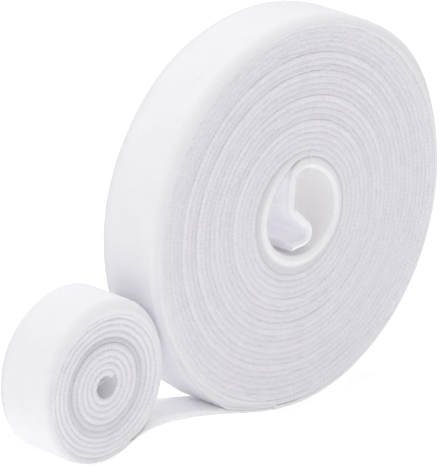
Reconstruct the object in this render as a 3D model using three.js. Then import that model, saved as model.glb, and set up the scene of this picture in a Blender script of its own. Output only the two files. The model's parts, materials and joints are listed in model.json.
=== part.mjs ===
// A roll of white back-to-back hook and loop tape, rolled up from both of its ends.
// A large coil stands on its edge, without a core. Its outer end runs out along the table
// as a short arched lead, and the free end is rolled into a small coil that stands on it.
// The inner end springs back across the bore of the large coil as a hooked tail.
// Millimetres, +Z up, floor at Z = 0. Both coils turn about Y, and -Y is the front.
import * as THREE from 'three';

// The tape, which is thinner the harder its turns press on it
const tapeWidth = 20;
const woundThickness = 1.3;
const looseThickness = 1.4;
const freeThickness = 2.0;

// The large coil, wound anticlockwise inwards from its foot
const boreRadius = 14.3;
const coilTurns = 22.5;
const turnGap = 0.5;
const coilFacets = 30;
const footDepth = 0.5;

// Turns where the winding has slipped towards the front, and how far at each
const slippedTurns = [6, 9, 12.5, 17];
const slipStep = 0.35;
const slipRun = 0.5;

// The innermost turn, which has sprung away from the coil round it
const sprungGap = 1.1;
const springArc = 66;

// The tail: a curl off the innermost turn, a leg, a lean across the bore and a hook
const tailCurlRadius = 6.1;
const tailLeg = 4.7;
const tailBendRadius = 2.2;
const tailLean = 50;
const tailHookRadius = 2.6;
const tailHookTurn = 130;
const tailTip = 4.5;
const tailWallGap = 3.8;

// The small coil, wound clockwise inwards, with fewer facets in its tighter turns
const holeRadius = 1.85;
const smallTurns = 8.73;
const smallTurnGap = 0.7;
const smallInnerFacets = 9;
const smallOuterFacets = 20;

// The lead: a last turn wrapped round the small coil, then an arch down to the large coil's foot
const coilsApart = 0.4;
const wrapGap = 0.3;
const wrapLeave = 298;
const wrapBreak = 23;
const wrapFacets = 36;
const leadRise = 18;
const leadSettle = 25;
const leadFacets = 24;

// The narrow gap where two lengths of the tape meet, and the turn of one facet in a bend
const seam = 0.3;
const bendStep = 12;

const rad = THREE.MathUtils.degToRad;
const turn = 2 * Math.PI;

// Radii follow from the bore outwards, to the middle of the tape's thickness
const coilPitch = woundThickness + turnGap;
const innermostRadius = boreRadius + freeThickness / 2;
const coilInnerRadius = innermostRadius + freeThickness / 2 + sprungGap + woundThickness / 2;
const coilOuterRadius = coilInnerRadius + coilTurns * coilPitch;
const coilReach = coilOuterRadius + woundThickness / 2;

const smallPitch = looseThickness + smallTurnGap;
const smallInnerRadius = holeRadius + looseThickness / 2;
const smallOuterRadius = smallInnerRadius + smallTurns * smallPitch;
const smallReach = smallOuterRadius + looseThickness / 2;
const wrapRadius = smallReach + wrapGap + looseThickness / 2;
const wrapReach = wrapRadius + looseThickness / 2;

// Each coil stands on a foot pressed flat, and the two just clear each other
const coilAxis = { x: 0, z: coilReach - footDepth };
const smallAxis = { x: 0, z: wrapReach - footDepth };
const axesApart = coilReach + wrapReach + coilsApart;
smallAxis.x = -Math.sqrt(axesApart ** 2 - (coilAxis.z - smallAxis.z) ** 2);

// The foot is one facet wide, so the coil's outer end lies half a facet past its lowest point
const footAngle = -Math.PI / 2 - Math.PI / coilFacets;
const coilEndAngle = footAngle + coilTurns * turn;

// The wrap stops short of a full turn, where the tape goes on into the small coil
const wrapStartAngle = rad(wrapLeave + wrapBreak) - turn;

// A station is one cross-section of the tape. Its inner side lies to the left of the way it runs.
function station(x, z, heading, thickness, slip = 0) {
  const half = thickness / 2;
  const side = { x: -Math.sin(heading), z: Math.cos(heading) };
  const inner = { x: x + half * side.x, z: z + half * side.z };
  const outer = { x: x - half * side.x, z: Math.max(z - half * side.z, 0) };
  return { inner, outer, slip };
}

// A station on a circle round an axis, running anticlockwise
function stationRound(axis, angle, radius, thickness, slip) {
  const x = axis.x + radius * Math.cos(angle);
  const z = axis.z + radius * Math.sin(angle);
  return station(x, z, angle + Math.PI / 2, thickness, slip);
}

// How far towards the front the winding has slipped, a number of turns in from the outer end
function slipAt(turns) {
  const steps = slippedTurns.map((at) => THREE.MathUtils.smoothstep(turns, at, at + slipRun));
  return -slipStep * steps.reduce((sum, step) => sum + step, 0);
}

// The large coil: a spiral that loses one pitch in each turn
function coilStations() {
  const count = Math.round(coilTurns * coilFacets);
  return Array.from({ length: count + 1 }, (_, i) => {
    const turns = i / coilFacets;
    const radius = coilOuterRadius - coilPitch * turns;
    return stationRound(coilAxis, footAngle + turns * turn, radius, woundThickness, slipAt(turns));
  });
}

// The innermost turn: it springs in from the coil's inner end and thickens as its pile opens
function innermostStations() {
  const lag = seam / coilInnerRadius;
  return Array.from({ length: coilFacets + 1 }, (_, i) => {
    const sweep = lag + (i / coilFacets) * (turn - lag);
    const sprung = THREE.MathUtils.smoothstep(sweep, 0, rad(springArc));
    const radius = THREE.MathUtils.lerp(coilInnerRadius, innermostRadius, sprung);
    const thickness = THREE.MathUtils.lerp(woundThickness, freeThickness, sprung);
    return stationRound(coilAxis, coilEndAngle + sweep, radius, thickness, slipAt(coilTurns));
  });
}

// A pen that walks the middle of a strip of tape and leaves a station at each step
function pen(x, z, heading, thickness, slip) {
  const stations = [station(x, z, heading, thickness, slip)];
  const mark = () => stations.push(station(x, z, heading, thickness, slip));
  return {
    stations,
    at: () => ({ x, z, heading }),
    run(length) {
      x += length * Math.cos(heading);
      z += length * Math.sin(heading);
      mark();
    },
    // A bend to the left for a positive angle and to the right for a negative one
    bend(radius, angle) {
      const steps = Math.ceil(Math.abs(angle) / rad(bendStep));
      const chord = 2 * radius * Math.sin(Math.abs(angle) / steps / 2);
      for (let i = 0; i < steps; i += 1) {
        heading += angle / steps / 2;
        x += chord * Math.cos(heading);
        z += chord * Math.sin(heading);
        heading += angle / steps / 2;
        mark();
      }
    },
  };
}

// Where the tail leaves the innermost turn, which is also the line it flexes about
const tailRootAngle = coilEndAngle + turn + seam / innermostRadius;
const tailRoot = {
  x: coilAxis.x + innermostRadius * Math.cos(tailRootAngle),
  z: coilAxis.z + innermostRadius * Math.sin(tailRootAngle),
};

// The tail hangs from its curl, leans across the bore and hooks back clear of the bore's wall
function tailStations() {
  const startHeading = (tailRootAngle + Math.PI / 2) % turn;
  const tail = pen(tailRoot.x, tailRoot.z, startHeading, freeThickness, slipAt(coilTurns));
  tail.bend(tailCurlRadius, 1.5 * Math.PI - startHeading);
  tail.run(tailLeg);
  tail.bend(tailBendRadius, rad(tailLean));
  const leanHeading = tail.at().heading;
  const tipHeading = leanHeading - rad(tailHookTurn);
  const hookDrop = tailHookRadius * (Math.cos(leanHeading) - Math.cos(tipHeading));
  const tipDrop = -tailTip * Math.sin(tipHeading);
  const tipHeight = coilAxis.z - boreRadius + tailWallGap + freeThickness / 2;
  tail.run((tail.at().z - hookDrop - tipDrop - tipHeight) / -Math.sin(leanHeading));
  tail.bend(tailHookRadius, -rad(tailHookTurn));
  tail.run(tailTip);
  return tail.stations;
}

// The turns reached at each facet of a spiral whose count of facets grows from turn to turn
function facetedTurns(total, fewest, most) {
  const growth = (most - fewest) / total;
  const count = Math.round((total * (fewest + most)) / 2);
  return Array.from({ length: count + 1 }, (_, i) => {
    const squared = fewest ** 2 + (most ** 2 - fewest ** 2) * (i / count);
    return (Math.sqrt(squared) - fewest) / growth;
  });
}

// The small coil, from its hole outwards
function smallStations() {
  const innerAngle = wrapStartAngle - smallTurns * turn;
  return facetedTurns(smallTurns, smallInnerFacets, smallOuterFacets).map((turns) => {
    const radius = smallInnerRadius + smallPitch * turns;
    return stationRound(smallAxis, innerAngle + turns * turn, radius, looseThickness);
  });
}

// The wrap: the lead's last turn, which the small coil sits in
function wrapStations() {
  const sweep = rad(wrapLeave) - wrapStartAngle;
  const count = Math.ceil((sweep / turn) * wrapFacets);
  return Array.from({ length: count }, (_, i) => {
    const angle = wrapStartAngle + (sweep * i) / count;
    return stationRound(smallAxis, angle, wrapRadius, looseThickness);
  });
}

// The arch: it leaves the wrap along its tangent and lies down flat at the large coil's foot
function archStations() {
  const foot = stationRound(coilAxis, footAngle, coilOuterRadius, woundThickness);
  const footThickness = foot.inner.z - foot.outer.z;
  const leave = rad(wrapLeave);
  const start = new THREE.Vector2(smallAxis.x, smallAxis.z);
  start.add(new THREE.Vector2(Math.cos(leave), Math.sin(leave)).multiplyScalar(wrapRadius));
  const end = new THREE.Vector2((foot.inner.x + foot.outer.x) / 2 - seam, footThickness / 2);
  const rising = new THREE.Vector2(-Math.sin(leave), Math.cos(leave)).multiplyScalar(leadRise);
  const settling = new THREE.Vector2(leadSettle, 0);
  const curve = new THREE.CubicBezierCurve(start, start.clone().add(rising), end.clone().sub(settling), end);
  return Array.from({ length: leadFacets + 1 }, (_, i) => {
    const along = i / leadFacets;
    const at = curve.getPoint(along);
    const way = curve.getTangent(along);
    const opened = (freeThickness - looseThickness) * Math.sin(Math.PI * along);
    const thickness = THREE.MathUtils.lerp(looseThickness, footThickness, along) + opened;
    return station(at.x, at.y, Math.atan2(way.y, way.x), thickness);
  });
}

// Joins stations into one closed length of tape: four corners at each, and a cap at each end
function tapeGeometry(stations) {
  const front = -tapeWidth / 2;
  const back = tapeWidth / 2;
  const corners = stations.flatMap(({ inner, outer, slip }) => [
    outer.x, front + slip, outer.z,
    inner.x, front + slip, inner.z,
    inner.x, back + slip, inner.z,
    outer.x, back + slip, outer.z,
  ]);
  const faces = [0, 1, 2, 0, 2, 3];
  for (let i = 0; i + 1 < stations.length; i += 1) {
    for (let k = 0; k < 4; k += 1) {
      const here = 4 * i + k;
      const beside = 4 * i + ((k + 1) % 4);
      faces.push(here, here + 4, beside + 4, here, beside + 4, beside);
    }
  }
  const last = 4 * (stations.length - 1);
  faces.push(last, last + 2, last + 1, last, last + 3, last + 2);
  const geometry = new THREE.BufferGeometry();
  geometry.setAttribute('position', new THREE.Float32BufferAttribute(corners, 3));
  geometry.setIndex(faces);
  geometry.computeVertexNormals();
  return geometry;
}

// The distance from a point to the straight stretch between two others
function toStretch(point, from, to) {
  const run = { x: to.x - from.x, z: to.z - from.z };
  const along = ((point.x - from.x) * run.x + (point.z - from.z) * run.z) / (run.x ** 2 + run.z ** 2);
  const held = THREE.MathUtils.clamp(along, 0, 1);
  return Math.hypot(from.x + held * run.x - point.x, from.z + held * run.z - point.z);
}

// The least gap between a turn of a winding and the turns beside it, from its points to their facets
function leastGap(stations, fewest, most) {
  const apart = Math.ceil(fewest / 2);
  const reach = Math.ceil(1.5 * most);
  const gaps = stations.flatMap((here, i) => stations.flatMap((there, j) => {
    const steps = Math.abs(j - i);
    if (steps < apart || steps > reach || j + 1 === stations.length) return [];
    const next = stations[j + 1];
    return [
      toStretch(here.inner, there.outer, next.outer),
      toStretch(here.outer, there.inner, next.inner),
    ];
  }));
  return gaps.reduce((least, gap) => Math.min(least, gap), Infinity);
}

function tapeMesh(name, stations, color) {
  const material = new THREE.MeshStandardMaterial({ color, roughness: 0.92, metalness: 0 });
  const mesh = new THREE.Mesh(tapeGeometry(stations), material);
  mesh.name = name;
  return mesh;
}

const coil = coilStations();
const innermost = innermostStations();
const small = smallStations();
const lead = [...wrapStations(), ...archStations()];

const roll = new THREE.Group();
roll.add(tapeMesh('large_coil', coil, 0xf1f0f2));
roll.add(tapeMesh('innermost_turn', innermost, 0xf5f4f3));
roll.add(tapeMesh('inner_tail', tailStations(), 0xf4f3f2));
roll.add(tapeMesh('lead_strip', lead, 0xf3f2f2));
roll.add(tapeMesh('small_coil', small, 0xefeef0));

// The origin is on the floor under the middle of the roll's box
const box = new THREE.Box3().setFromObject(roll);
const middle = box.getCenter(new THREE.Vector3());
roll.position.set(-middle.x, -middle.y, 0);

const placed = ({ x, z }) => [x - middle.x, -middle.y, z].map((value) => value.toFixed(3)).join(', ');
console.log('least gap of the large coil to itself', leastGap(coil, coilFacets, coilFacets).toFixed(3));
console.log('least gap of the innermost turn to itself', leastGap(innermost, coilFacets, coilFacets).toFixed(3));
const smallGap = leastGap(small, smallInnerFacets, smallOuterFacets);
console.log('least gap of the small coil to itself', smallGap.toFixed(3));
console.log('large coil axis', placed(coilAxis), 'reach', coilReach.toFixed(3));
console.log('small coil axis', placed(smallAxis), 'reach', smallReach.toFixed(3));
console.log('turns of the small coil to one of the large coil', (coilOuterRadius / wrapRadius).toFixed(3));
console.log('tail root', placed(tailRoot));

export default roll;
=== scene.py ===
import json
import math

import bpy
import numpy as np
from mathutils import Matrix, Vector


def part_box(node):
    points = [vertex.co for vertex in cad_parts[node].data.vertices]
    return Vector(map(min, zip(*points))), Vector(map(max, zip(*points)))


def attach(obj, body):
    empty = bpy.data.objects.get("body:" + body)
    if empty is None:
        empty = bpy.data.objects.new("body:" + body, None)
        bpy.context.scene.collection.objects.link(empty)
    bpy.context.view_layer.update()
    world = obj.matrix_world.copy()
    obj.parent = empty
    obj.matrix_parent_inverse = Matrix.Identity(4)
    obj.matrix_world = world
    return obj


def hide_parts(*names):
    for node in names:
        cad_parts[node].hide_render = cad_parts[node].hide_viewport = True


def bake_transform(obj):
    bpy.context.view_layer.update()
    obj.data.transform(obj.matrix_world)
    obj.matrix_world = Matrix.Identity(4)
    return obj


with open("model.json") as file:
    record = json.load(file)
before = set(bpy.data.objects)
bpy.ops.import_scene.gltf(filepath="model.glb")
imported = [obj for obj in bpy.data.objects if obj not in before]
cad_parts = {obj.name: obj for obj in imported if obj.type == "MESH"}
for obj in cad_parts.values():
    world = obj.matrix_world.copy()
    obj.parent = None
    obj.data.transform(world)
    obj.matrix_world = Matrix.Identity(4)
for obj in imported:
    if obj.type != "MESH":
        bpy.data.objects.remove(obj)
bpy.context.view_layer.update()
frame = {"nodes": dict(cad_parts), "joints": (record.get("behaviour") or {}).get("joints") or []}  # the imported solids, which the tape below is wound round and stands for
print("frame:", ", ".join(sorted(frame["nodes"])))

mm = 0.001  # sizes below are millimetres, meshes are metres
fullTurn = 2 * math.pi
joints = {joint["name"]: joint for joint in frame["joints"]}


def jointPlace(name):
    # where a joint's axis lies, in millimetres
    return np.array(joints[name]["pos_m"]) / mm


largeAxis = jointPlace("wind_on")
smallAxis = jointPlace("small_coil_turn")
tailRoot = jointPlace("tail_flex")
midY = largeAxis[1]

# one length of back-to-back tape: a thin bonded web with loop pile outside and hooks inside
tape = {
    "width": 20.0,
    "web": 0.6,
    "wound": 1.35,  # thickness of a turn that is pressed
    "filled": 1.86,  # thickness of a buried turn, whose pile fills the gap beside it
    "loose": 1.4,
    "free": 2.0,
    "webShare": 0.33,  # share of the section's half height that is web
    "leastWeb": 0.25,  # share of the web's height that is left at its very edge
    "crestInset": 0.12,  # share of the edge's rounding that lies on the web's crest
    "valleyRun": 0.45,  # share of the height over which the pile steps back behind the crest
    "rounding": 0.11,
    "picotPitch": 1.3,
    "picotDepth": 0.05,
    "edgeWander": 0.05,
    "edgeWave": 17.0,
    "edgeGrain": 0.05,
    "coveredGrain": 0.125,  # share of that grain on an edge that pile covers
    "edgeReach": 0.9,  # how far in from the edge these reach
    "edgePasses": 1,
    "edgeSeed": 100,
    "grainLift": 0.03,
    "feltPasses": 2,
    "curlReach": 3.6,  # width of the front edge that curls in on the outer turns
    "curlPower": 1.5,
    "fillInset": 0.4,  # how far behind the edge the pile starts to fill a gap beside it
    "fillTone": 0.8,  # tone of that pile, with painted shade deep in the gap
    "toneReach": 2.6,  # width of the edge over which the tape's tone changes
    "valleyShade": 0.024,
    "valleyMean": 0.5,
    "floorGap": 0.02,  # nothing lies lower than this
    "uvUnit": 100.0,
}
strayWaves = {"count": 8, "shortest": 0.6, "longest": 1.7}  # the sines of a stray line


def smooth(x):
    # the ease from 0 to 1: three x squared less two x cubed
    x = np.clip(x, 0, 1)
    return x * x * (3 - 2 * x)


def wander(along, wave, size, seed):
    # a smooth random line: a few sines near one wavelength, each with its own phase
    rng = np.random.default_rng(seed)
    count = strayWaves["count"]
    waves = wave * rng.uniform(strayWaves["shortest"], strayWaves["longest"], count)
    phases = rng.uniform(0, fullTurn, count)
    sines = np.sin(fullTurn * np.asarray(along)[..., None] / waves + phases)
    return 2 * size * sines.sum(-1) / count


def grain(shape, softened, seed):
    # felted pile: white noise, averaged with its neighbours a few times, with a spread of one
    field = np.random.default_rng(seed).standard_normal(shape)
    for _ in range(softened):
        field = field + sum(np.roll(field, step, axis) for axis in (0, 1) for step in (-1, 1))
        field = field / field.std()
    return field


def tapeSide(edgePoints, flatPoints, crested):
    # one broad side from the front edge to the back edge
    # height runs up the web's half and then up the pile, and the inset grows with its square
    height = np.linspace(0, 1, edgePoints)
    inset, valley = height ** 2, 0 * height
    if crested:  # the web stands proud as a thin crest and the pile beside it is set back
        crest = np.clip(height / tape["webShare"], 0, 1) ** 2
        valley = smooth((height - tape["webShare"]) / tape["valleyRun"])
        inset = tape["crestInset"] * crest + (1 - tape["crestInset"]) * valley
    rest = np.ones(flatPoints)
    flat = np.concatenate([0 * height, np.linspace(-1, 1, flatPoints + 2)[1:-1], 0 * height])
    edge = np.concatenate([0 * height - 1, 0 * rest, 0 * height + 1])
    inset, height, valley = (np.concatenate([a, b * rest, a[::-1]])
                             for a, b in ((inset, 1), (height, 1), (valley, 0)))
    return edge, inset, height, flat, valley


def tapeProfile(edgePoints, outerFlat=0, innerFlat=0, bareEdge=True):
    # the closed section: the pile side front to back, then the hook side back to front
    outer, inner = (tapeSide(edgePoints, flat, bareEdge) for flat in (outerFlat, innerFlat))
    edge, inset, height, flat, valley = (np.concatenate([a, b[::-1]]) for a, b in zip(outer, inner))
    side = np.concatenate([np.ones(len(outer[0])), -np.ones(len(inner[0]))])
    webShare = tape["webShare"]
    web = np.clip(height / webShare, tape["leastWeb"], 1) * tape["web"] / 2
    pile = np.clip((height - webShare) / (1 - webShare), 0, 1)
    return {"edge": edge, "inset": inset, "flat": flat, "side": side, "valley": valley,
            "bareEdge": bareEdge, "web": side * web, "pile": side * pile}


def acrossTape(profile, rounding, innerShare=1.0):
    # where each point of the section lies across the tape, for edges rounded over this depth
    half = tape["width"] / 2
    inset = profile["inset"] * rounding * np.where(profile["side"] > 0, 1.0, innerShare)
    return profile["edge"] * (half - inset) + profile["flat"] * (half - rounding)


def pathOf(x, z, s, thickness, y=0.0):
    # a run of tape: its outer side lies to the right of the way it goes
    dx, dz = np.gradient(x), np.gradient(z)
    size = np.hypot(dx, dz)
    ones = np.ones(len(x))
    path = {"x": x, "z": z, "s": s, "nx": dz / size, "nz": -dx / size}
    path.update({"y": y * ones, "thickness": thickness * ones})
    for key in ("rounding", "toneReach", "valleyShade"):
        path[key] = tape[key] * ones
    for key in ("innerShare", "tone", "pileTone", "edgeTone"):
        path[key] = ones
    for key in ("curl", "flare", "spread", "tilt", "narrow", "fill", "open"):
        path[key] = 0 * ones
    return path


def lengthAlong(x, z):
    # the length walked from the first point to each point
    return np.concatenate([[0], np.cumsum(np.hypot(np.diff(x), np.diff(z)))])


def tapeLift(path, profile, y):
    # how far each point stands off the path: web, pile, filled gap, tilt and flare, less the curl
    half = tape["width"] / 2
    pileSide = profile["side"] > 0
    pileHeight = (path["thickness"] - tape["web"]) / 2
    out = profile["web"] + profile["pile"] * pileHeight[:, None]
    filled = np.where(pileSide, path["fill"][:, None], 0)
    filled = filled * smooth((half - np.abs(y) - tape["fillInset"]) / tape["fillInset"])
    out = out + filled * profile["side"] + path["tilt"][:, None] * (y / half + 1) / 2
    flared = path["flare"][:, None] * smooth((y + half) / tape["width"])
    out = out + np.where(pileSide, flared, 0)
    curled = path["curl"][:, None] * np.where(y < 0, 1, 0)  # the back edge lies flat
    turnedIn = smooth((np.abs(y) - half + tape["curlReach"]) / tape["curlReach"])
    return out - curled * turnedIn ** tape["curlPower"], filled


def edgeRipple(path, profile, y, seed):
    # how far the edges ripple outwards: woven picots, a slow wander and a fine grain
    inside = tape["width"] / 2 - np.abs(y)
    atEdge = np.sign(y) * np.clip(1 - inside / tape["edgeReach"], 0, 1)
    picots = tape["picotDepth"] * np.cos(fullTurn * path["s"] / tape["picotPitch"])
    wave = profile["bareEdge"] * picots + wander(path["s"], tape["edgeWave"], tape["edgeWander"], seed)
    rough = tape["edgeGrain"] * (1 if profile["bareEdge"] else tape["coveredGrain"])
    fine = grain(y.shape, tape["edgePasses"], seed + tape["edgeSeed"])
    return atEdge * (wave[:, None] + rough * fine)


def tapeTone(path, profile, y, filled):
    # lightness: each side's own, the edge's own near the edge, with painted shade in valleys and in filled
    # gaps
    reach = path["toneReach"][:, None]
    nearEdge = smooth((np.abs(y) - tape["width"] / 2 + reach) / reach)
    tone = np.where(profile["side"] > 0, path["pileTone"][:, None], path["tone"][:, None])
    tone = tone * (1 - nearEdge) + path["edgeTone"][:, None] * nearEdge
    valley = profile["valley"] - tape["valleyMean"] * profile["bareEdge"]
    tone = tone * (1 - path["valleyShade"][:, None] * valley)
    return tone * (1 - (1 - tape["fillTone"]) * np.clip(filled, 0, 1))


def sweepTape(path, profile, seed, felted):
    # each section stands on the path's normal, and its back half may spread backwards
    half = tape["width"] / 2
    y = acrossTape(profile, path["rounding"][:, None], path["innerShare"][:, None])
    y = y * (1 - path["narrow"][:, None] / half)
    out, filled = tapeLift(path, profile, y)
    if felted:
        out = out + tape["grainLift"] * profile["pile"] * grain(out.shape, felted, seed)
    backward = path["spread"][:, None] * np.clip(y / half, 0, 1)
    points = np.empty(out.shape + (3,))
    points[..., 0] = path["x"][:, None] + path["nx"][:, None] * out
    points[..., 1] = midY + path["y"][:, None] + y + backward + edgeRipple(path, profile, y, seed)
    points[..., 2] = np.maximum(path["z"][:, None] + path["nz"][:, None] * out, tape["floorGap"])
    return points, tapeTone(path, profile, y, filled)


def tapeFaces(stations, around):
    # quads between neighbouring sections, and one face over each end
    i, k = np.meshgrid(np.arange(stations - 1), np.arange(around), indexing="ij")
    here, beside = i * around + k, i * around + (k + 1) % around
    quads = np.stack([here, beside, beside + around, here + around], -1).reshape(-1, 4)
    first = stations * around + np.arange(around)[::-1]
    last = (stations + 1) * around + np.arange(around)
    return quads, first, last


def tapeMesh(name, points, loops, starts):
    # a smooth mesh from its points, its faces' corners and where each face starts
    mesh = bpy.data.meshes.new(name)
    mesh.vertices.add(len(points))
    mesh.vertices.foreach_set("co", points.astype(np.float32).ravel())
    mesh.loops.add(len(loops))
    mesh.loops.foreach_set("vertex_index", loops.astype(np.int32))
    mesh.polygons.add(len(starts))
    mesh.polygons.foreach_set("loop_start", starts.astype(np.int32))
    mesh.update(calc_edges=True)
    mesh.polygons.foreach_set("use_smooth", np.ones(len(starts), bool))
    return mesh


def withEnds(rows):
    # the rows of a run, with its first and last once more, because the ends have their own points
    return np.concatenate([rows, rows[:1], rows[-1:]])


def tapeObject(name, path, profile, seed=1, felted=0):
    # the swept section as a closed mesh, mapped by the tape's own length and width
    points, tone = sweepTape(path, profile, seed, felted)
    stations, around = points.shape[:2]
    quads, first, last = tapeFaces(stations, around)
    flat = withEnds(points).reshape(-1, 3) * mm
    a, b, c = (flat[quads[:, n]] for n in (0, 1, 2))
    if np.einsum("ij,ij->", a, np.cross(b, c)) < 0:  # turned inside out
        quads, first, last = quads[:, ::-1], first[::-1], last[::-1]
    loops = np.concatenate([quads.ravel(), first, last])
    starts = np.concatenate([np.arange(len(quads)) * 4, len(quads) * 4 + np.array([0, around])])
    mesh = tapeMesh(name, flat, loops, starts)
    mesh.polygons.foreach_set("material_index", faceMaterials(profile, path["open"]))
    along = np.repeat(withEnds(path["s"]), around)
    across = np.tile(acrossTape(profile, tape["rounding"]), stations + 2)
    uv = np.stack([along, across], -1)[loops] / tape["uvUnit"]
    mesh.uv_layers.new(name="tape").data.foreach_set("uv", uv.astype(np.float32).ravel())
    toneLayer = mesh.attributes.new("tone", "FLOAT", "POINT")
    toneLayer.data.foreach_set("value", withEnds(tone).astype(np.float32).ravel())
    for material in (loopPile, hookWeb, wovenEdge, openHookWeb):
        mesh.materials.append(material)
    mesh.validate()
    made = bpy.data.objects.new(name, mesh)
    bpy.context.scene.collection.objects.link(made)
    print(f"{name}: {stations} sections of {around} points")
    return made


faceKinds = {"pile": 0, "hooks": 1, "edge": 2, "openHooks": 3}  # the order of a piece's materials


def faceMaterials(profile, opened):
    # pile outside and hooks inside; of the buried turns only the bare selvedge shows
    hooks = np.where(opened[:-1, None] > 0, faceKinds["openHooks"], faceKinds["hooks"])
    kind = np.where(profile["side"] > 0, faceKinds["pile"], hooks)
    kind = np.where(profile["bareEdge"], faceKinds["edge"], kind)
    return np.concatenate([kind.ravel(), [faceKinds["edge"]] * 2]).astype(np.int32)


def addNode(tree, kind, settings=None, values=None, links=None):
    # one node with its settings, its fixed values and the sockets that feed it
    node = tree.nodes.new(kind)
    for key, value in (settings or {}).items():
        setattr(node, key, value)
    for key, value in (values or {}).items():
        node.inputs[key].default_value = value
    for key, socket in (links or {}).items():
        tree.links.new(socket, node.inputs[key])
    return node


def linear(hexColour):
    # sRGB hex to the linear colour that a shader takes
    parts = [int(hexColour[n:n + 2], 16) / 255 for n in (0, 2, 4)]
    return [p / 12.92 if p <= 0.04045 else ((p + 0.055) / 1.055) ** 2.4 for p in parts] + [1]


# what all finishes of the tape share: the detail of their patterns, and nylon's own gloss
weave = {
    "fibreDetail": 3.0,
    "fibreRoughness": 0.6,
    "patchDetail": 2.0,
    "noiseLow": 0.35,
    "noiseHigh": 0.65,
    "bandsInUnit": 3.18,  # bands in one unit of a wave texture whose scale is 1
    "rowDetail": 2.0,
    "rowDetailScale": 1.5,
    "ior": 1.53,
    "sheenRoughness": 0.5,
}


def tapeCoordinates(tree):
    # the tape's own length and width, in millimetres
    uv = addNode(tree, "ShaderNodeUVMap", {"uv_map": "tape"})
    unit = tape["uvUnit"]
    return addNode(tree, "ShaderNodeMapping", values={"Scale": (unit, unit, unit)},
                   links={"Vector": uv.outputs["UV"]}).outputs["Vector"]


def finishPatterns(tree, finish):
    # fine fibres, broad handling marks and rows of thread, each at its real size
    where = {"Vector": tapeCoordinates(tree)}
    fibreValues = {"Scale": 1 / finish["fibre"], "Detail": weave["fibreDetail"],
                   "Roughness": weave["fibreRoughness"]}
    patchValues = {"Scale": 1 / finish["patch"], "Detail": weave["patchDetail"]}
    rowValues = {"Scale": 1 / (finish["rowPitch"] * weave["bandsInUnit"]),
                 "Distortion": finish["rowStray"], "Detail": weave["rowDetail"],
                 "Detail Scale": weave["rowDetailScale"]}
    fibre = addNode(tree, "ShaderNodeTexNoise", {"noise_dimensions": "2D"}, fibreValues, where)
    patch = addNode(tree, "ShaderNodeTexNoise", {"noise_dimensions": "2D"}, patchValues, where)
    rows = addNode(tree, "ShaderNodeTexWave",
                   {"wave_type": "BANDS", "bands_direction": finish["rows"]}, rowValues, where)
    return fibre.outputs["Fac"], patch.outputs["Fac"], rows.outputs["Fac"]


def finishColour(tree, finish, fibre, patch, rows):
    # from shade to light by fibres and marks, then times the piece's tone, which holds painted light and
    # shade, and, a little, the rows
    multiplied = {"data_type": "RGBA", "blend_type": "MULTIPLY"}
    mixed = addNode(tree, "ShaderNodeMath", {"operation": "MULTIPLY_ADD"}, {1: finish["patchShare"]},
                    {0: patch, 2: fibre})
    noiseEnds = {1: weave["noiseLow"], 2: weave["noiseHigh"] + finish["patchShare"]}
    ramp = addNode(tree, "ShaderNodeMapRange", values=noiseEnds, links={0: mixed.outputs[0]})
    tint = addNode(tree, "ShaderNodeMix", {"data_type": "RGBA"},
                   {6: linear(finish["shade"]), 7: linear(finish["light"])}, {0: ramp.outputs[0]})
    tone = addNode(tree, "ShaderNodeAttribute", {"attribute_name": "tone"})
    toned = addNode(tree, "ShaderNodeMix", multiplied, {0: 1.0},
                    {6: tint.outputs[2], 7: tone.outputs["Fac"]})
    dashed = addNode(tree, "ShaderNodeMix", multiplied, {0: finish["dash"]},
                     {6: toned.outputs[2], 7: rows})
    return dashed.outputs[2]


def tapeMaterial(name, finish):
    # patterned colour and relief; what is the same all over is set on the shader's own sockets
    made = bpy.data.materials.new(name)
    made.use_nodes = True
    tree = made.node_tree
    shader = tree.nodes["Principled BSDF"]
    fibre, patch, rows = finishPatterns(tree, finish)
    tree.links.new(finishColour(tree, finish, fibre, patch, rows), shader.inputs["Base Color"])
    relief = addNode(tree, "ShaderNodeMath", {"operation": "MULTIPLY_ADD"}, {1: finish["rowShare"]},
                     {0: rows, 2: fibre})
    bumpValues = {"Strength": finish["bump"], "Distance": finish["relief"] * mm}
    bump = addNode(tree, "ShaderNodeBump", values=bumpValues, links={"Height": relief.outputs[0]})
    tree.links.new(bump.outputs["Normal"], shader.inputs["Normal"])
    even = {"Roughness": finish["roughness"], "IOR": weave["ior"],
            "Specular IOR Level": finish["gloss"], "Sheen Weight": finish["sheen"],
            "Sheen Roughness": weave["sheenRoughness"]}
    if "scatter" in finish:  # light goes into the tape and spreads alike in all colours
        even.update({"Subsurface Weight": finish["scatter"], "Subsurface Radius": (1.0, 1.0, 1.0),
                     "Subsurface Scale": finish["scatterDepth"] * mm})
    for socket, value in even.items():
        shader.inputs[socket].default_value = value
    return made


# brushed nylon loops: a matt felt, soft at its edge, with faint patches where it was handled
loopPile = tapeMaterial("brushed nylon loop pile", {
    "light": "F2F1F5", "shade": "EBEAEE", "fibre": 0.5, "patch": 9.0, "patchShare": 0.6, "rows": "X",
    "rowPitch": 0.9, "rowStray": 6.0, "rowShare": 0.15, "dash": 0.02, "bump": 0.5, "relief": 0.12,
    "roughness": 0.95, "gloss": 0.2, "sheen": 0.15})

# moulded nylon hooks on a knitted web: fine rows along the tape, with a little more gloss than the pile
hookFinish = {
    "light": "F6F5F7", "shade": "EFEEF0", "fibre": 0.35, "patch": 12.0, "patchShare": 0.4, "rows": "Y",
    "rowPitch": 1.0, "rowStray": 1.5, "rowShare": 0.6, "dash": 0.03, "bump": 0.45, "relief": 0.12,
    "roughness": 0.85, "gloss": 0.25, "sheen": 0.08}
hookWeb = tapeMaterial("knitted nylon hook web", hookFinish)

# the same web where one layer of tape stands alone and the light comes through it
openHookWeb = tapeMaterial("knitted nylon hook web, one layer",
                           {**hookFinish, "scatter": 0.95, "scatterDepth": 4.0})

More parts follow.
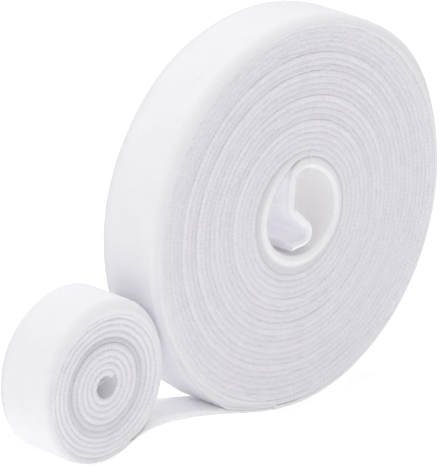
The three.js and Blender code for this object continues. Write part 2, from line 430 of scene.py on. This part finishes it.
# the woven selvedge: bare crossing threads, closer and firmer than the pile
wovenEdge = tapeMaterial("woven nylon selvedge", {
    "light": "F3F1F7", "shade": "E9E7ED", "fibre": 0.4, "patch": 6.0, "patchShare": 0.5, "rows": "X",
    "rowPitch": 1.3, "rowStray": 2.0, "rowShare": 0.7, "dash": 0.035, "bump": 0.4, "relief": 0.1,
    "roughness": 0.9, "gloss": 0.2, "sheen": 0.1})

# the large coil: a spiral that loses one pitch in each turn, wound anticlockwise inwards from its foot
largeCoil = {
    "outerRadius": 58.55,
    "pitch": 1.8,
    "turns": 22.5,
    "footAngle": -96.0,
    "splitAngle": 50.0,
    "buriedFrom": 0.98,
    "joinRun": 0.1,
    "secondTurn": 0.36,  # how much thicker the second turn is, to fill up to the outer one
    "secondTurnEnd": 1.95,
    "slippedTurns": (6, 9, 12.5, 17),
    "slipStep": 0.16,
    "slipRun": 0.5,
    "turnJitter": 0.06,
    "turnWave": 0.8,
    "turnSeed": 12,
    "gapJitter": 0.012,
    "gapWave": 0.9,
    "gapEase": 1.5,
    "gapSeed": 11,
    "innerShare": 0.12,
    "curl": 1.9,
    "curlTurns": 6.5,
    "curlFade": 1.3,
    "standOff": 2.9,
    "standOffAngle": 36.0,
    "standOffArc": 24.0,
    "standOffRounding": 0.5,
    "standOffTone": 0.012,
    "spread": 1.7,
    "spreadAngle": 170.0,
    "spreadArc": 50.0,
    "spreadTurns": 4.0,
    "flare": 0.6,
    "flareAngle": 128.0,
    "flareArc": 15.0,
    "rounding": 1.5,
    "leastRounding": 0.4,  # share of that rounding where the edge isn't worn
    "roundedTurns": 1.1,
    "wornAndLitAngle": 120.0,
    "wornAndLitMean": 0.5,
    "wornAndLitSpread": 0.75,
    "rimTone": 0.93,
    "faceTone": 0.905,
    "rimTurns": 4.0,
    # painted light on the slipped turns: a painted highlight past each step and painted shade before it
    "slipTone": 0.037,
    "leastSlipTone": 0.35,  # share of that painted highlight and shade away from the worn and lit upper left
    "brightPast": 0.75,  # the painted highlight lies past a slipped turn's step and the painted shade before it, over these runs
    "brightRun": 0.5,
    "darkBefore": 0.5,
    "darkRun": 0.8,
    "step": 0.5,
    "rightSeed": 21,
    "leftSeed": 22,
    "groupSeed": 30,
}


def coilRadius(t):
    # the radius t turns in: the spiral with a small stray
    eased = smooth(t / largeCoil["gapEase"]) * smooth(largeCoil["turns"] - t)
    stray = wander(t, largeCoil["gapWave"], largeCoil["gapJitter"], largeCoil["gapSeed"]) * eased
    return largeCoil["outerRadius"] - largeCoil["pitch"] * t + stray


def coilSlip(t):
    # how far towards the front a turn has slipped: a step at each slipped turn and a little stray
    steps = sum(smooth((t - at) / largeCoil["slipRun"]) for at in largeCoil["slippedTurns"])
    stray = wander(t, largeCoil["turnWave"], largeCoil["turnJitter"], largeCoil["turnSeed"])
    return stray * smooth(t) * smooth(largeCoil["turns"] - t) - largeCoil["slipStep"] * steps


def coilWearAndLight(angle):
    # how worn the edge is round the coil: most at the upper left, where it was handled and where the light
    # falls; this also sets how strong the slipped turns' painted highlight and shade are
    aside = np.cos(angle - math.radians(largeCoil["wornAndLitAngle"]))
    return smooth(largeCoil["wornAndLitMean"] + largeCoil["wornAndLitSpread"] * aside)


def coilCurl(t, wornAndLit):
    # how far the edge of the outer turns curls in: most on the outer turn and on the worn side
    left = np.clip(1 - t / largeCoil["curlTurns"], 0, 1)
    return largeCoil["curl"] * wornAndLit * left ** largeCoil["curlFade"]


def coilSwell(name, angle):
    # a soft swelling of the outer turn, with a bell-shaped run round its own angle
    aside = (np.degrees(angle) - largeCoil[name + "Angle"]) / largeCoil[name + "Arc"]
    return largeCoil[name] * np.exp(-aside ** 2)


def coilRounding(t, wornAndLit):
    # the outer turn's edge is rounded more where it is worn, and the buried turns have the tape's own
    wearAndLight = largeCoil["leastRounding"] + (1 - largeCoil["leastRounding"]) * wornAndLit
    more = largeCoil["rounding"] * wearAndLight - tape["rounding"]
    return tape["rounding"] + more * smooth(largeCoil["roundedTurns"] - t)


def slipBand(past, middle, run):
    # a bell-shaped band beside a slipped turn, by how far past its step a turn lies
    return np.exp(-((past - middle) / run) ** 2)


def coilEdgeTone(t, wornAndLit):
    # from the rim's tone to the face's, with a painted highlight band and a painted shade band at each
    # slipped turn, strongest at the worn and lit upper left
    slipped = largeCoil["slippedTurns"]
    tone = largeCoil["rimTone"]
    tone = tone + (largeCoil["faceTone"] - tone) * smooth(t / largeCoil["rimTurns"])
    bright = sum(slipBand(t - at, largeCoil["brightPast"], largeCoil["brightRun"]) for at in slipped)
    dark = sum(slipBand(t - at, -largeCoil["darkBefore"], largeCoil["darkRun"]) for at in slipped)
    wearAndLight = largeCoil["leastSlipTone"] + (1 - largeCoil["leastSlipTone"]) * wornAndLit
    return tone + largeCoil["slipTone"] * (bright - dark) * wearAndLight


def coilPath(start, end):
    # round the large axis from start to end, counted in turns from the outer end
    middle = largeCoil["outerRadius"] - largeCoil["pitch"] * (start + end) / 2
    t = np.linspace(start, end, int(fullTurn * middle * (end - start) / largeCoil["step"]) + 2)
    angle = math.radians(largeCoil["footAngle"]) + fullTurn * t
    buried = smooth((t - largeCoil["buriedFrom"]) / largeCoil["joinRun"])
    pastSecond = smooth((t - largeCoil["secondTurnEnd"]) / largeCoil["joinRun"])
    standOff = coilSwell("standOff", angle) * (1 - buried)
    radius = coilRadius(t) + standOff / 2
    thickness = tape["wound"] + (tape["filled"] - tape["wound"]) * buried + standOff
    thickness = thickness + largeCoil["secondTurn"] * buried * (1 - pastSecond)
    x, z = largeAxis[0] + radius * np.cos(angle), largeAxis[2] + radius * np.sin(angle)
    s = fullTurn * (largeCoil["outerRadius"] * t - largeCoil["pitch"] * t * t / 2)
    path = pathOf(x, z, s, thickness, coilSlip(t))
    wornAndLit = coilWearAndLight(angle)
    path["curl"] = coilCurl(t, wornAndLit)
    path["flare"] = coilSwell("flare", angle) * (1 - buried)
    spreading = np.clip(1 - t / largeCoil["spreadTurns"], 0, 1)
    path["spread"] = coilSwell("spread", angle % fullTurn) * spreading
    path["rounding"] = coilRounding(t, wornAndLit) + largeCoil["standOffRounding"] * standOff
    path["edgeTone"] = coilEdgeTone(t, wornAndLit) - largeCoil["standOffTone"] * standOff
    path["innerShare"] = largeCoil["innerShare"] + (1 - largeCoil["innerShare"]) * buried
    return path


# points round a rounded edge or a bare one, and across a broad side
sectionPoints = {"edge": 9, "bareEdge": 6, "tread": 44, "bothFaces": 40}
treadProfile = tapeProfile(sectionPoints["edge"], sectionPoints["tread"], 0, bareEdge=False)
buriedProfile = tapeProfile(sectionPoints["bareEdge"])
bothFacesProfile = tapeProfile(sectionPoints["edge"], sectionPoints["bothFaces"],
                               sectionPoints["bothFaces"], bareEdge=False)

# the outer turn in two halves: the left half goes on the large coil and the right half on none
splitAngle = math.radians(largeCoil["splitAngle"])
topTurn = (largeCoil["splitAngle"] - largeCoil["footAngle"]) / 360.0
coilTop = largeAxis[2] + coilRadius(np.array([topTurn]))[0] * math.sin(splitAngle)
outerRight = tapeObject("outer_turn_right", coilPath(0.0, topTurn), treadProfile,
                        largeCoil["rightSeed"], tape["feltPasses"])
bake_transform(outerRight)
outerLeft = tapeObject("outer_turn_left", coilPath(topTurn, 1.0), treadProfile,
                       largeCoil["leftSeed"], tape["feltPasses"])

# the buried turns, in the groups that the slips divide them into
groups = (1.0,) + largeCoil["slippedTurns"] + (largeCoil["turns"],)
woundGroups = [tapeObject(f"wound_turns_{n + 1}", coilPath(a, b), buriedProfile, largeCoil["groupSeed"] + n)
               for n, (a, b) in enumerate(zip(groups, groups[1:]))]
for piece in [outerLeft] + woundGroups:
    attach(piece, "large_coil")
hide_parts("large_coil")
print("large coil wound")

# the innermost turn springs in from the coil's inner end and its pile opens
innermost = {
    "radius": 15.0,
    "thickness": 2.4,
    "rounding": 0.75,
    "springArc": 66.0,
    "flatFoot": 1.2,
    "footSwell": 0.6,
    "forward": 0.7,
    "fillOverlap": 0.05,
    "rootTone": 0.85,
    "tone": 0.99,
    # painted light: the ring's and tail's pile and front edges are painted lighter, to lift the shade in the
    # bore
    "pileTone": 1.1,
    "edgeTone": 0.98,
    "step": 0.35,
    "seed": 41,
}
coilEndAngle = math.radians(largeCoil["footAngle"]) + fullTurn * largeCoil["turns"]
coilInnerRadius = largeCoil["outerRadius"] - largeCoil["pitch"] * largeCoil["turns"]
innerSlip = coilSlip(np.array([largeCoil["turns"]]))[0]


def ringRadius(sweep):
    # radius and thickness ease from the coil's inner end to the turn's own; its foot is high and full
    sprung = smooth(sweep / math.radians(innermost["springArc"]))
    radius = coilInnerRadius + (innermost["radius"] - coilInnerRadius) * sprung
    low = np.clip(-np.sin(coilEndAngle + sweep), 0, None) ** 2
    thickness = tape["filled"] + (innermost["thickness"] - tape["filled"]) * sprung
    return sprung, radius - innermost["flatFoot"] * low, thickness + innermost["footSwell"] * low


def innermostPath():
    # one turn round the bore, with the gap behind its edge filled up to the coil
    sweep = np.linspace(0, fullTurn, int(fullTurn * innermost["radius"] / innermost["step"]))
    sprung, radius, thickness = ringRadius(sweep)
    angle = coilEndAngle + sweep
    x, z = largeAxis[0] + radius * np.cos(angle), largeAxis[2] + radius * np.sin(angle)
    path = pathOf(x, z, lengthAlong(x, z), thickness, innerSlip - innermost["forward"] * sprung)
    wall = coilInnerRadius + largeCoil["pitch"] * (1 - sweep / fullTurn) - tape["filled"] / 2
    path["fill"] = np.clip(wall - radius - thickness / 2 + innermost["fillOverlap"], 0, None)
    path["tone"] = np.full(len(sweep), innermost["tone"])
    path["edgeTone"] = innermost["rootTone"] + (innermost["edgeTone"] - innermost["rootTone"]) * sprung
    path["rounding"] = tape["rounding"] + (innermost["rounding"] - tape["rounding"]) * sprung
    return path


innermostTurn = tapeObject("innermost_turn_tape", innermostPath(), bothFacesProfile,
                           innermost["seed"], tape["feltPasses"])
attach(innermostTurn, "large_coil")
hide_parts("innermost_turn")

# the tail: a curl off the innermost turn, a leg, a lean across the bore and a hook
tail = {
    "curlRadius": 5.3,
    "leg": 6.6,
    "bendRadius": 2.2,
    "lean": 50.0,
    "noLean": 1e-6,
    "hookRadius": 2.6,
    "hookTurn": 130.0,
    "tip": 5.2,
    "wallGap": 3.8,
    "boreRadius": 14.3,
    "flexLength": 6.0,
    "fillFrom": 0.8,  # the wedge beside the curl is filled, less and less where it is wider than this
    "fillFade": 1.6,
    "fillRadii": 2.0,
    "openEnd": 19.0,  # length at the end that stands alone and lets light through
    "walkStep": 0.1,
    "step": 0.25,
    "seed": 42,
}


def walk(start, heading, stretches, step):
    # a line walked from start: each stretch has a length and turns by an angle at a steady rate
    lengths = np.array([length for length, _ in stretches])
    turns = np.array([angle for _, angle in stretches])
    s = np.linspace(0, lengths.sum(), int(lengths.sum() / step) + 1)
    ends = np.concatenate([[0], np.cumsum(lengths)])
    headings = heading + np.interp(s, ends, np.concatenate([[0], np.cumsum(turns)]))
    middle = (headings[1:] + headings[:-1]) / 2
    moved = np.diff(s)
    x = start[0] + np.concatenate([[0], np.cumsum(moved * np.cos(middle))])
    z = start[1] + np.concatenate([[0], np.cumsum(moved * np.sin(middle))])
    return x, z, s


tailHeading = (math.atan2(tailRoot[2] - largeAxis[2], tailRoot[0] - largeAxis[0]) + math.pi / 2) % fullTurn
tailStart = (largeAxis[0] + innermost["radius"] * math.cos(coilEndAngle),
             largeAxis[2] + innermost["radius"] * math.sin(coilEndAngle))


def tailStretches(lean):
    # length and turn of the curl, the leg, the bend, the lean, the hook and the tip
    bend, hook = math.radians(tail["lean"]), math.radians(tail["hookTurn"])
    curl = 1.5 * math.pi - tailHeading  # down to a leg that hangs straight
    return [(tail["curlRadius"] * curl, curl), (tail["leg"], 0), (tail["bendRadius"] * bend, bend),
            (lean, 0), (tail["hookRadius"] * hook, -hook), (tail["tip"], 0)]


def tailLine():
    # the middle of the tail, with the lean that leaves its gap between the tip and the bore's wall
    tipHeight = largeAxis[2] - tail["boreRadius"] + tail["wallGap"] + tape["free"] / 2
    noLean = walk(tailStart, tailHeading, tailStretches(tail["noLean"]), tail["walkStep"])
    leanRun = (noLean[1][-1] - tipHeight) / math.cos(math.radians(tail["lean"]))
    return walk(tailStart, tailHeading, tailStretches(leanRun), tail["step"])


def tailPath():
    # along that line, with the wedge between the curl and the innermost turn filled
    x, z, s = tailLine()
    path = pathOf(x, z, s, innermost["thickness"], innerSlip - innermost["forward"])
    for key in ("rounding", "tone", "pileTone", "edgeTone"):
        path[key] = np.full(len(x), innermost[key])
    angle = np.unwrap(np.arctan2(z - largeAxis[2], x - largeAxis[0]))
    _, ringMiddle, ringThickness = ringRadius(angle - angle[0])
    reach = np.hypot(x - largeAxis[0], z - largeAxis[2])
    gap = ringMiddle - ringThickness / 2 - reach - innermost["thickness"] / 2
    kept = 1 - smooth((gap - tail["fillFrom"]) / tail["fillFade"])
    path["fill"] = np.clip(gap, 0, None) * kept * (s < tail["curlRadius"] * tail["fillRadii"])
    path["open"] = np.where(s > s[-1] - tail["openEnd"], 1, 0)
    return path


innerTail = tapeObject("inner_tail_tape", tailPath(), bothFacesProfile, tail["seed"], tape["feltPasses"])
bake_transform(innerTail)
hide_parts("inner_tail")
print("innermost turn and tail wound")

# the small coil: outer turns pressed together, a wider gap, then looser turns to the hole
smallCoil = {
    "outerRadius": 20.3,
    "turns": 9.73,
    "innerEnd": 1.0,
    "endRecess": 6.0,
    "endRun": 0.3,
    # painted shade on the cut end, deep in the hole
    "endTone": 0.8,
    "startInset": 0.3,
    "pressedTurns": 4,
    "pressedPitch": 1.65,
    "gapPitch": 2.1,
    "loosePitch": 1.88,
    "pressedThickness": 1.68,
    "overlap": 0.06,
    "rounding": 0.22,
    "rimTone": 0.94,
    "faceTone": 0.915,
    "rimTurns": 4.0,
    "ringTone": 0.2,  # painted shade on the turn beside the wider gap, most at the upper left; that turn also lies back
    "ringAngle": 120.0,
    "ringEven": 0.8,
    "ringWidth": 0.8,
    "setBack": 0.2,
    "setBackTurn": 4.7,
    # painted light: the hook side, seen deep in the hole, is painted lighter
    "tone": 1.08,
    "firstDive": 0.05,
    "diveGrowth": 0.12,
    "widestDive": 0.5,
    "gapJitter": 0.03,
    "gapWave": 0.9,
    "gapSeed": 13,
    "turnJitter": 0.07,
    "turnWave": 0.8,
    "turnSeed": 14,
    "valleyShade": 0.08,
    "step": 0.4,
    "seed": 51,
}
# the lead: out of the small coil, once round it as a soft oval turn, then an arch to the large coil's foot
lead = {
    "leave": 298.0,
    "wrapBreak": 23.0,
    "dive": 36.0,
    "innerRadius": 21.15,
    "rise": 18.0,
    "settle": 10.0,
    "bulge": 0.62,
    "bulgeRight": 0.73,
    "bulgeUp": 0.95,
    "bulgeEnd": 215.0,
    "bulgeFade": 35.0,
    "curl": 0.9,
    "rounding": 1.8,
    "archRounding": 0.6,
    "innerShare": 0.12,
    "innerRate": 6.0,  # the arch takes on its own edge and tone this many times faster than it is long
    "toneRate": 3.0,
    "tilt": 1.6,
    "tiltRise": 0.3,
    "tiltFall": 0.4,
    # painted light and shade on the lead's edges: darker along the arch and at the foot of the turn, lighter
    # towards the top of the turn
    "rimTone": 0.885,
    "rimLight": 0.07,
    "archTone": 0.88,
    "archReach": 0.9,
    # painted light: the hook side is painted lighter, seen most on the arch's top in the shade between the
    # coils
    "tone": 1.04,
    "opened": 0.2,
    "step": 0.5,
    "seed": 52,
}
wrapReach = smallAxis[0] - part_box("lead_strip")[0].x / mm
wrapRadius = wrapReach - tape["loose"] / 2
wrapStart = lead["leave"] + lead["wrapBreak"] - 360.0


def smallPitch(n):
    # how far the coil drops in its turn n
    if n == smallCoil["pressedTurns"] + 1:
        return smallCoil["gapPitch"]
    return smallCoil["loosePitch"] if n > smallCoil["pressedTurns"] else smallCoil["pressedPitch"]


def smallRadius(u):
    # u turns in from the lead's last turn: each turn drops by its pitch, over an arc that widens inwards
    radius = smallCoil["outerRadius"] + 0 * u
    for n in range(1, int(smallCoil["turns"]) + 2):
        half = min(smallCoil["widestDive"], smallCoil["firstDive"] + smallCoil["diveGrowth"] * n)
        share = (u - n - smallCoil["firstDive"] + half) / (2 * half)
        steady = half == smallCoil["widestDive"]
        radius = radius - smallPitch(n) * (np.clip(share, 0, 1) if steady else smooth(share))
    stray = wander(u, smallCoil["gapWave"], smallCoil["gapJitter"], smallCoil["gapSeed"])
    return radius + stray * smooth(u - 1)


def smallEdgeTone(u, a, atRing, ended):
    # from the rim's tone to the face's, with painted shade at the wider gap and on the cut end deep in the
    # hole
    tone = smallCoil["rimTone"]
    tone = tone + (smallCoil["faceTone"] - tone) * smooth(u / smallCoil["rimTurns"])
    even = smallCoil["ringEven"]
    tone = tone - smallCoil["ringTone"] * atRing * (
        even + (1 - even) * np.cos(a - math.radians(smallCoil["ringAngle"])))
    return tone + (smallCoil["endTone"] - tone) * ended


def smallPath():
    # from the hole outwards, to end under the lead's dive; the cut end lies back inside the hole
    u = np.linspace(smallCoil["turns"] + smallCoil["innerEnd"], 0.0,
                    int(fullTurn * wrapRadius / 2 * smallCoil["turns"] / smallCoil["step"]))
    radius, a = smallRadius(u), np.radians(wrapStart) - fullTurn * u
    x, z = smallAxis[0] + radius * np.cos(a), smallAxis[2] + radius * np.sin(a)
    outside = np.where(u > 1, smallRadius(u - 1) - radius, smallCoil["pressedPitch"])
    thickness = np.maximum(outside, radius - smallRadius(u + 1)) + smallCoil["overlap"]
    atRing = np.exp(-((u - smallCoil["setBackTurn"]) / smallCoil["ringWidth"]) ** 2)
    stray = wander(u, smallCoil["turnWave"], smallCoil["turnJitter"], smallCoil["turnSeed"])
    slip = stray * smooth(u - u[-1]) + smallCoil["setBack"] * atRing
    path = pathOf(x, z, lengthAlong(x, z), thickness, slip)
    ended = smooth((u - smallCoil["turns"]) / smallCoil["endRun"])
    covered = smooth(1 - u * 360.0 / lead["dive"])
    path["narrow"] = smallCoil["endRecess"] * ended + smallCoil["startInset"] * covered
    path["rounding"] = np.full(len(u), smallCoil["rounding"])
    path["tone"] = np.full(len(u), smallCoil["tone"])
    path["edgeTone"] = smallEdgeTone(u, a, atRing, ended)
    path["valleyShade"] = smallCoil["valleyShade"] * (1 - ended)
    return path


def wrapOutside(angle):
    # the last turn's outer side: a circle with a bulge to the top and the right, flat at the foot
    a = np.radians(angle)
    bulge = lead["bulge"] + lead["bulgeRight"] * np.cos(a) - lead["bulgeUp"] * np.cos(2 * a)
    return wrapReach + bulge * (1 - smooth((angle - lead["bulgeEnd"]) / lead["bulgeFade"]))


def leadWrap(angle, risen):
    # a dive out of the small coil and one turn round it: its middle line and its thickness
    inside, outside = lead["innerRadius"], wrapOutside(angle)
    radius = smallCoil["outerRadius"] * (1 - risen) + (inside + outside) / 2 * risen
    thickness = smallCoil["pressedThickness"] * (1 - risen) + (outside - inside) * risen
    a = np.radians(angle)
    return smallAxis[0] + radius * np.cos(a), smallAxis[2] + radius * np.sin(a), thickness


def leadArch(start, leave, end):
    # a cubic curve from the end of that turn to the large coil's foot, and each point's share of it
    rising = lead["rise"] * np.array([-math.sin(leave), math.cos(leave)])
    settling = np.array([lead["settle"], 0])
    share = np.linspace(0, 1, int(np.hypot(*(end - start)) / lead["step"]))[1:, None]
    arch = ((1 - share) ** 3 * start + 3 * (1 - share) ** 2 * share * (start + rising)
            + 3 * (1 - share) * share ** 2 * (end - settling) + share ** 3 * end)
    return arch, share[:, 0]


def leadPath():
    # the turn round the small coil, then the arch, which thickens into the wedge at the foot
    angle = np.linspace(wrapStart - lead["dive"], lead["leave"],
                        int(fullTurn * wrapRadius / lead["step"]))
    risen = smooth((angle - angle[0]) / lead["dive"])
    turnX, turnZ, wrapped = leadWrap(angle, risen)
    foot = math.radians(largeCoil["footAngle"])
    footX = largeAxis[0] + largeCoil["outerRadius"] * math.cos(foot)
    footInner = largeAxis[2] + (largeCoil["outerRadius"] - tape["wound"] / 2) * math.sin(foot)
    arch, along = leadArch(np.array([turnX[-1], turnZ[-1]]), np.radians(angle)[-1],
                           np.array([footX, footInner / 2]))
    opened = lead["opened"] * np.sin(math.pi * along)
    thickness = np.concatenate([wrapped, wrapped[-1] + (footInner - wrapped[-1]) * along + opened])
    x, z = np.concatenate([turnX, arch[:, 0]]), np.concatenate([turnZ, arch[:, 1]])
    path = pathOf(x, z, lengthAlong(x, z), thickness)
    dressLead(path, angle, risen, along)
    return path


def dressLead(path, angle, risen, along):
    # the lead's edges and tones, first round the turn and then along the arch, with the painted light and
    # shade of its edges
    settled = smooth((angle - lead["bulgeEnd"]) / lead["bulgeFade"])
    lit = np.clip(np.sin(np.radians(angle)), 0, 1)
    toned = smooth(lead["toneRate"] * along)
    inner = lead["innerShare"]
    runs = {
        "rounding": (smallCoil["rounding"] + (lead["rounding"] - smallCoil["rounding"]) * risen,
                     lead["archRounding"] + (lead["rounding"] - lead["archRounding"]) * (1 - along)),
        "edgeTone": (lead["rimTone"] + lead["rimLight"] * lit,
                     lead["rimTone"] + (lead["archTone"] - lead["rimTone"]) * toned),
        "curl": (lead["curl"] * risen * (1 - settled), 0 * along),
        "innerShare": (inner + 0 * angle, inner + (1 - inner) * smooth(lead["innerRate"] * along)),
        "open": (0 * angle, 1 + 0 * along),
        "toneReach": (tape["toneReach"] + 0 * angle,
                      tape["toneReach"] + (lead["archReach"] - tape["toneReach"]) * toned),
        "tilt": (0 * angle, lead["tilt"] * smooth(along / lead["tiltRise"])
                 * smooth((1 - along) / lead["tiltFall"])),
    }
    for key, bothRuns in runs.items():
        path[key] = np.concatenate(bothRuns)
    path["tone"] = np.full(len(path["x"]), lead["tone"])


smallTurns = tapeObject("small_coil_turns", smallPath(), buriedProfile, smallCoil["seed"])
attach(smallTurns, "small_coil")
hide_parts("small_coil")
leadRun = leadPath()
leadTape = tapeObject("lead_tape", leadRun, bothFacesProfile, lead["seed"], tape["feltPasses"])
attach(leadTape, "lead")
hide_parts("lead_strip")

# the slack at the foot: the outer tape sags away from the coil's underside where the lead leaves it
slack = {
    "layers": ({"start": -154.0, "end": -95.0, "swell": 30.0, "sunk": 0.6, "root": 0.9},
               {"start": -129.0, "end": -103.0, "swell": 20.0, "sunk": 0.3, "root": 0.45}),
    "depth": 1.35,
    "pressed": 0.3,
    "tipInset": 0.4,
    "rounding": 0.4,
    # painted shade: the slack's edges are painted darker, at the foot under the coil
    "edgeTone": 0.86,
    "archPart": 4,  # the last quarter of the lead's points lies on its arch
    "points": 200,
    "seed": 53,
}


def leadInside(angle):
    # how far from the large axis the arch's upper side lies
    arch = slice(-len(leadRun["x"]) // slack["archPart"], None)
    dx, dz = leadRun["x"][arch] - largeAxis[0], leadRun["z"][arch] - largeAxis[2]
    reach = np.hypot(dx, dz) - leadRun["thickness"][arch] / 2
    return np.interp(angle, np.degrees(np.arctan2(dz, dx)), reach)


def slackPath(layer, below):
    # a crescent under the layer below it: it leaves that layer, swells to its depth and ends on the lead
    angle = np.linspace(layer["start"], layer["end"], slack["points"])
    turn = 1 + (angle - largeCoil["footAngle"]) / 360.0
    coilReach = largeCoil["outerRadius"] - largeCoil["pitch"] * turn + tape["wound"] / 2
    if below is not None:
        coilReach = np.interp(angle, *below)
    swell = smooth((angle - layer["start"]) / layer["swell"])
    outside = coilReach - layer["sunk"] + (slack["depth"] + layer["sunk"]) * swell
    outside = np.minimum(outside, leadInside(angle) + slack["pressed"])
    inside = np.minimum(coilReach, outside) - layer["root"] + layer["sunk"] * (1 - swell)
    a, radius = np.radians(angle), (inside + outside) / 2
    x, z = largeAxis[0] + radius * np.cos(a), largeAxis[2] + radius * np.sin(a)
    path = pathOf(x, z, lengthAlong(x, z), outside - inside)
    path["rounding"] = np.full(len(a), slack["rounding"])
    path["edgeTone"] = np.full(len(a), slack["edgeTone"])
    path["curl"] = coilCurl(turn, coilWearAndLight(a))
    path["narrow"] = slack["tipInset"] * (1 - swell)
    return path, (angle, outside)


slackSurface = None
for n, layer in enumerate(slack["layers"]):
    slackRun, slackSurface = slackPath(layer, slackSurface)
    slackTape = tapeObject(f"foot_slack_{n + 1}", slackRun, treadProfile,
                           slack["seed"] + n, tape["feltPasses"])
    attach(slackTape, "lead")
print("small coil and lead wound")

# a plain pale floor under soft studio light: a white surround and three large lamps
studio = {
    "floorSize": 6000.0,
    "floor": "F2F2F2",
    "floorRoughness": 0.9,
    "floorGloss": 0.1,
    "floorGlow": 0.3,
    "surround": 0.58,
    "lampSize": 1500.0,
    "bounces": 24,
    "topLamp": {"power": 13.1, "place": (0.0, 300.0, 1600.0)},
    "backLamp": {"power": 2.6, "place": (-250.0, 1500.0, 450.0)},
    "frontLamp": {"power": 5.9, "place": (-1100.0, -1350.0, 350.0)},
}
white = (1, 1, 1, 1)


def floorObject():
    # one square of matt paper, lifted a little by a glow of its own
    half = studio["floorSize"] / 2 * mm
    corners = [(-half, -half, 0), (half, -half, 0), (half, half, 0), (-half, half, 0)]
    mesh = bpy.data.meshes.new("floor")
    mesh.from_pydata(corners, [], [(0, 1, 2, 3)])
    made = bpy.data.objects.new("floor", mesh)
    bpy.context.scene.collection.objects.link(made)
    paper = bpy.data.materials.new("matt white paper")
    paper.use_nodes = True
    shader = paper.node_tree.nodes["Principled BSDF"]
    shader.inputs["Base Color"].default_value = linear(studio["floor"])
    shader.inputs["Roughness"].default_value = studio["floorRoughness"]
    shader.inputs["Specular IOR Level"].default_value = studio["floorGloss"]
    shader.inputs["Emission Color"].default_value = white
    shader.inputs["Emission Strength"].default_value = studio["floorGlow"]
    mesh.materials.append(paper)


def studioLight():
    # an even white world, and square lamps that all look at the origin
    world = bpy.data.worlds.new("white surround")
    world.use_nodes = True
    surround = world.node_tree.nodes["Background"]
    surround.inputs["Color"].default_value = white
    surround.inputs["Strength"].default_value = studio["surround"]
    bpy.context.scene.world = world
    for name in ("topLamp", "backLamp", "frontLamp"):
        lamp = bpy.data.lights.new(name, "AREA")
        lamp.size = studio["lampSize"] * mm
        lamp.energy = studio[name]["power"]
        made = bpy.data.objects.new(name, lamp)
        place = np.array(studio[name]["place"]) * mm
        made.matrix_world = Matrix.Translation(place) @ lookAlong(-place)
        bpy.context.scene.collection.objects.link(made)


def lookAlong(way):
    # the turn that points a lamp's -Z down a direction
    back = -np.array(way) / np.linalg.norm(way)
    right = np.cross((0, 0, 1), back)
    right = right / np.linalg.norm(right)
    return Matrix(np.stack([right, np.cross(back, right), back], 1).tolist()).to_4x4()


# the camera, fitted to the photograph's outlines: angles in radians, lengths in millimetres and pixels
camera = {
    "turn": 0.8033,
    "rise": 0.3179,
    "roll": 0.0514,
    "distance": 1459.3,
    "aimRight": -12.823,
    "aimUp": 46.781,
    "focalPixels": 5000.0,
    "frameHeight": 472.0,
    "sensor": 36.0,
    "nearest": 100.0,
    "farthest": 50000.0,
}


def cameraObject():
    # the camera stands back from its aim along the view, rolled a little about it
    turned, rise, roll = camera["turn"], camera["rise"], camera["roll"]
    back = np.array([-math.sin(turned) * math.cos(rise), -math.cos(turned) * math.cos(rise), math.sin(rise)])
    level = np.array([math.cos(turned), -math.sin(turned), 0])
    upright = np.cross(back, level)
    right = math.cos(roll) * level + math.sin(roll) * upright
    up = np.cross(back, right)
    aim = np.array([largeAxis[0], midY, 0]) + camera["aimRight"] * right + camera["aimUp"] * up
    lens = bpy.data.cameras.new("camera")
    lens.sensor_width = camera["sensor"]
    lens.lens = camera["sensor"] * camera["focalPixels"] / camera["frameHeight"]
    lens.clip_start, lens.clip_end = camera["nearest"] * mm, camera["farthest"] * mm
    made = bpy.data.objects.new("camera", lens)
    turnMatrix = Matrix(np.stack([right, up, back], 1).tolist()).to_4x4()
    made.matrix_world = Matrix.Translation((aim + camera["distance"] * back) * mm) @ turnMatrix
    bpy.context.scene.collection.objects.link(made)
    bpy.context.scene.camera = made


floorObject()
studioLight()
cameraObject()
bpy.context.scene.view_settings.view_transform = "Standard"
bpy.context.scene.cycles.max_bounces = studio["bounces"]  # white tape passes light on many times in its gaps
bpy.context.scene.cycles.diffuse_bounces = studio["bounces"]
print("studio set")
